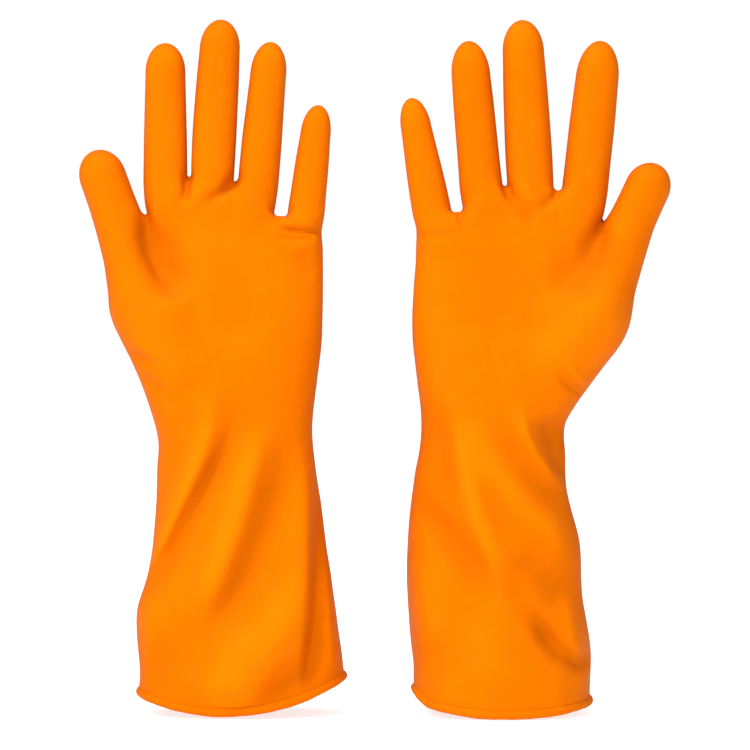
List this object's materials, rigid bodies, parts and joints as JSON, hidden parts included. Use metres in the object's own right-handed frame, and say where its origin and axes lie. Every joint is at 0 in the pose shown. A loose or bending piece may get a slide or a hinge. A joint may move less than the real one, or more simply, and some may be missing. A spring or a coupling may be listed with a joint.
{
  "type": "rubber gloves",
  "caption": "Long-cuffed orange latex household gloves with a rolled rim, as a left and right pair standing on their cuffs, with bending fingers, thumbs and wrists.",
  "frame": {"origin": "midway between the two gloves, mid-depth, at the level of the lowest point of the cuffs", "axes": "+Z from cuff to fingertips, -Y out of the palms, left-hand glove at -X and right-hand glove at +X"},
  "size_m": [0.272, 0.0778, 0.3186],
  "materials": {
    "rubber": "smooth dipped latex, satin"
  },
  "bodies": {
    "left_gauntlet": {"left_gauntlet": "rubber", "left_rolled_rim": "rubber"},
    "left_hand": {"left_hand": "rubber"},
    "left_index_base": {"left_index_base": "rubber"},
    "left_index_middle": {"left_index_middle": "rubber"},
    "left_index_tip": {"left_index_tip": "rubber"},
    "left_middle_base": {"left_middle_base": "rubber"},
    "left_middle_middle": {"left_middle_middle": "rubber"},
    "left_middle_tip": {"left_middle_tip": "rubber"},
    "left_ring_base": {"left_ring_base": "rubber"},
    "left_ring_middle": {"left_ring_middle": "rubber"},
    "left_ring_tip": {"left_ring_tip": "rubber"},
    "left_little_base": {"left_little_base": "rubber"},
    "left_little_middle": {"left_little_middle": "rubber"},
    "left_little_tip": {"left_little_tip": "rubber"},
    "left_thumb_base": {"left_thumb_base": "rubber"},
    "left_thumb_tip": {"left_thumb_tip": "rubber"},
    "right_gauntlet": {"right_gauntlet": "rubber", "right_rolled_rim": "rubber"},
    "right_hand": {"right_hand": "rubber"},
    "right_index_base": {"right_index_base": "rubber"},
    "right_index_middle": {"right_index_middle": "rubber"},
    "right_index_tip": {"right_index_tip": "rubber"},
    "right_middle_base": {"right_middle_base": "rubber"},
    "right_middle_middle": {"right_middle_middle": "rubber"},
    "right_middle_tip": {"right_middle_tip": "rubber"},
    "right_ring_base": {"right_ring_base": "rubber"},
    "right_ring_middle": {"right_ring_middle": "rubber"},
    "right_ring_tip": {"right_ring_tip": "rubber"},
    "right_little_base": {"right_little_base": "rubber"},
    "right_little_middle": {"right_little_middle": "rubber"},
    "right_little_tip": {"right_little_tip": "rubber"},
    "right_thumb_base": {"right_thumb_base": "rubber"},
    "right_thumb_tip": {"right_thumb_tip": "rubber"}
  },
  "joints": [
    {"name": "gloves_apart", "type": "slide", "parent": "left_gauntlet", "child": "right_gauntlet", "axis": [1, 0, 0], "range_m": [0, 0.15]},
    {"name": "left_wrist_bend", "type": "hinge", "parent": "left_gauntlet", "child": "left_hand", "pos_m": [-0.0639, 0, 0.1306], "axis": [1, 0, 0], "range_deg": [-45, 45], "stiffness_Nm_per_rad": 0.25},
    {"name": "left_index_root_bend", "type": "hinge", "parent": "left_hand", "child": "left_index_base", "pos_m": [-0.0964, -0.0025, 0.2528], "axis": [1, 0, 0], "range_deg": [-10, 70], "stiffness_Nm_per_rad": 0.03},
    {"name": "left_index_middle_bend", "type": "hinge", "parent": "left_index_base", "child": "left_index_middle", "pos_m": [-0.0964, -0.0025, 0.2718], "axis": [1, 0, 0], "range_deg": [0, 75], "stiffness_Nm_per_rad": 0.02},
    {"name": "left_index_tip_bend", "type": "hinge", "parent": "left_index_middle", "child": "left_index_tip", "pos_m": [-0.0964, -0.0025, 0.2893], "axis": [1, 0, 0], "range_deg": [0, 45], "stiffness_Nm_per_rad": 0.01},
    {"name": "left_middle_root_bend", "type": "hinge", "parent": "left_hand", "child": "left_middle_base", "pos_m": [-0.07467, -0.0025, 0.25328], "axis": [0.998, 0, -0.0628], "range_deg": [-10, 70], "stiffness_Nm_per_rad": 0.03},
    {"name": "left_middle_middle_bend", "type": "hinge", "parent": "left_middle_base", "child": "left_middle_middle", "pos_m": [-0.07323, -0.0025, 0.27624], "axis": [0.998, 0, -0.0628], "range_deg": [0, 75], "stiffness_Nm_per_rad": 0.02},
    {"name": "left_middle_tip_bend", "type": "hinge", "parent": "left_middle_middle", "child": "left_middle_tip", "pos_m": [-0.07197, -0.0025, 0.29619], "axis": [0.998, 0, -0.0628], "range_deg": [0, 45], "stiffness_Nm_per_rad": 0.01},
    {"name": "left_ring_root_bend", "type": "hinge", "parent": "left_hand", "child": "left_ring_base", "pos_m": [-0.05314, -0.0025, 0.25145], "axis": [0.9954, 0, -0.0958], "range_deg": [-10, 70], "stiffness_Nm_per_rad": 0.03},
    {"name": "left_ring_middle_bend", "type": "hinge", "parent": "left_ring_base", "child": "left_ring_middle", "pos_m": [-0.05122, -0.0025, 0.27136], "axis": [0.9954, 0, -0.0958], "range_deg": [0, 75], "stiffness_Nm_per_rad": 0.02},
    {"name": "left_ring_tip_bend", "type": "hinge", "parent": "left_ring_middle", "child": "left_ring_tip", "pos_m": [-0.0495, -0.0025, 0.28928], "axis": [0.9954, 0, -0.0958], "range_deg": [0, 45], "stiffness_Nm_per_rad": 0.01},
    {"name": "left_little_root_bend", "type": "hinge", "parent": "left_hand", "child": "left_little_base", "pos_m": [-0.03081, -0.0025, 0.23695], "axis": [0.993, 0, -0.1184], "range_deg": [-10, 70], "stiffness_Nm_per_rad": 0.03},
    {"name": "left_little_middle_bend", "type": "hinge", "parent": "left_little_base", "child": "left_little_middle", "pos_m": [-0.02904, -0.0025, 0.25184], "axis": [0.993, 0, -0.1184], "range_deg": [0, 75], "stiffness_Nm_per_rad": 0.02},
    {"name": "left_little_tip_bend", "type": "hinge", "parent": "left_little_middle", "child": "left_little_tip", "pos_m": [-0.02744, -0.0025, 0.26525], "axis": [0.993, 0, -0.1184], "range_deg": [0, 45], "stiffness_Nm_per_rad": 0.01},
    {"name": "left_thumb_root_swing", "type": "hinge", "parent": "left_hand", "child": "left_thumb_base", "pos_m": [-0.1072, -0.0055, 0.2295], "axis": [0.6494, 0, 0.7604], "range_deg": [-10, 35], "stiffness_Nm_per_rad": 0.04},
    {"name": "left_thumb_tip_bend", "type": "hinge", "parent": "left_thumb_base", "child": "left_thumb_tip", "pos_m": [-0.12074, -0.00477, 0.23942], "axis": [0.6665, 0.7071, 0.236], "range_deg": [0, 35], "stiffness_Nm_per_rad": 0.02},
    {"name": "right_wrist_bend", "type": "hinge", "parent": "right_gauntlet", "child": "right_hand", "pos_m": [0.0534, 0, 0.1306], "axis": [1, 0, 0], "range_deg": [-45, 45], "stiffness_Nm_per_rad": 0.25},
    {"name": "right_index_root_bend", "type": "hinge", "parent": "right_hand", "child": "right_index_base", "pos_m": [0.0975, -0.0025, 0.24914], "axis": [0.994, 0, -0.1097], "range_deg": [-10, 70], "stiffness_Nm_per_rad": 0.03},
    {"name": "right_index_middle_bend", "type": "hinge", "parent": "right_index_base", "child": "right_index_middle", "pos_m": [0.0998, -0.0025, 0.27001], "axis": [0.994, 0, -0.1097], "range_deg": [0, 75], "stiffness_Nm_per_rad": 0.02},
    {"name": "right_index_tip_bend", "type": "hinge", "parent": "right_index_middle", "child": "right_index_tip", "pos_m": [0.10183, -0.0025, 0.2884], "axis": [0.994, 0, -0.1097], "range_deg": [0, 45], "stiffness_Nm_per_rad": 0.01},
    {"name": "right_middle_root_bend", "type": "hinge", "parent": "right_hand", "child": "right_middle_base", "pos_m": [0.07098, -0.0025, 0.25149], "axis": [0.9986, 0, 0.0523], "range_deg": [-10, 70], "stiffness_Nm_per_rad": 0.03},
    {"name": "right_middle_middle_bend", "type": "hinge", "parent": "right_middle_base", "child": "right_middle_middle", "pos_m": [0.06972, -0.0025, 0.27545], "axis": [0.9986, 0, 0.0523], "range_deg": [0, 75], "stiffness_Nm_per_rad": 0.02},
    {"name": "right_middle_tip_bend", "type": "hinge", "parent": "right_middle_middle", "child": "right_middle_tip", "pos_m": [0.06867, -0.0025, 0.29543], "axis": [0.9986, 0, 0.0523], "range_deg": [0, 45], "stiffness_Nm_per_rad": 0.01},
    {"name": "right_ring_root_bend", "type": "hinge", "parent": "right_hand", "child": "right_ring_base", "pos_m": [0.04789, -0.0025, 0.25146], "axis": [0.9959, 0, 0.0906], "range_deg": [-10, 70], "stiffness_Nm_per_rad": 0.03},
    {"name": "right_ring_middle_bend", "type": "hinge", "parent": "right_ring_base", "child": "right_ring_middle", "pos_m": [0.04608, -0.0025, 0.27138], "axis": [0.9959, 0, 0.0906], "range_deg": [0, 75], "stiffness_Nm_per_rad": 0.02},
    {"name": "right_ring_tip_bend", "type": "hinge", "parent": "right_ring_middle", "child": "right_ring_tip", "pos_m": [0.04445, -0.0025, 0.2893], "axis": [0.9959, 0, 0.0906], "range_deg": [0, 45], "stiffness_Nm_per_rad": 0.01},
    {"name": "right_little_root_bend", "type": "hinge", "parent": "right_hand", "child": "right_little_base", "pos_m": [0.02473, -0.0025, 0.23786], "axis": [0.9829, 0, 0.184], "range_deg": [-10, 70], "stiffness_Nm_per_rad": 0.03},
    {"name": "right_little_middle_bend", "type": "hinge", "parent": "right_little_base", "child": "right_little_middle", "pos_m": [0.02178, -0.0025, 0.25359], "axis": [0.9829, 0, 0.184], "range_deg": [0, 75], "stiffness_Nm_per_rad": 0.02},
    {"name": "right_little_tip_bend", "type": "hinge", "parent": "right_little_middle", "child": "right_little_tip", "pos_m": [0.01912, -0.0025, 0.26784], "axis": [0.9829, 0, 0.184], "range_deg": [0, 45], "stiffness_Nm_per_rad": 0.01},
    {"name": "right_thumb_root_swing", "type": "hinge", "parent": "right_hand", "child": "right_thumb_base", "pos_m": [0.1058, -0.0055, 0.2254], "axis": [0.5736, 0, -0.8192], "range_deg": [-10, 35], "stiffness_Nm_per_rad": 0.04},
    {"name": "right_thumb_tip_bend", "type": "hinge", "parent": "right_thumb_base", "child": "right_thumb_tip", "pos_m": [0.11998, -0.00477, 0.23411], "axis": [0.6409, -0.7071, -0.2988], "range_deg": [0, 35], "stiffness_Nm_per_rad": 0.02}
  ],
  "couplings": [
    {"joint": "left_index_tip_bend", "follows": "left_index_middle_bend", "ratio": 0.6},
    {"joint": "left_middle_tip_bend", "follows": "left_middle_middle_bend", "ratio": 0.6},
    {"joint": "left_ring_tip_bend", "follows": "left_ring_middle_bend", "ratio": 0.6},
    {"joint": "left_little_tip_bend", "follows": "left_little_middle_bend", "ratio": 0.6},
    {"joint": "right_index_tip_bend", "follows": "right_index_middle_bend", "ratio": 0.6},
    {"joint": "right_middle_tip_bend", "follows": "right_middle_middle_bend", "ratio": 0.6},
    {"joint": "right_ring_tip_bend", "follows": "right_ring_middle_bend", "ratio": 0.6},
    {"joint": "right_little_tip_bend", "follows": "right_little_middle_bend", "ratio": 0.6}
  ]
}
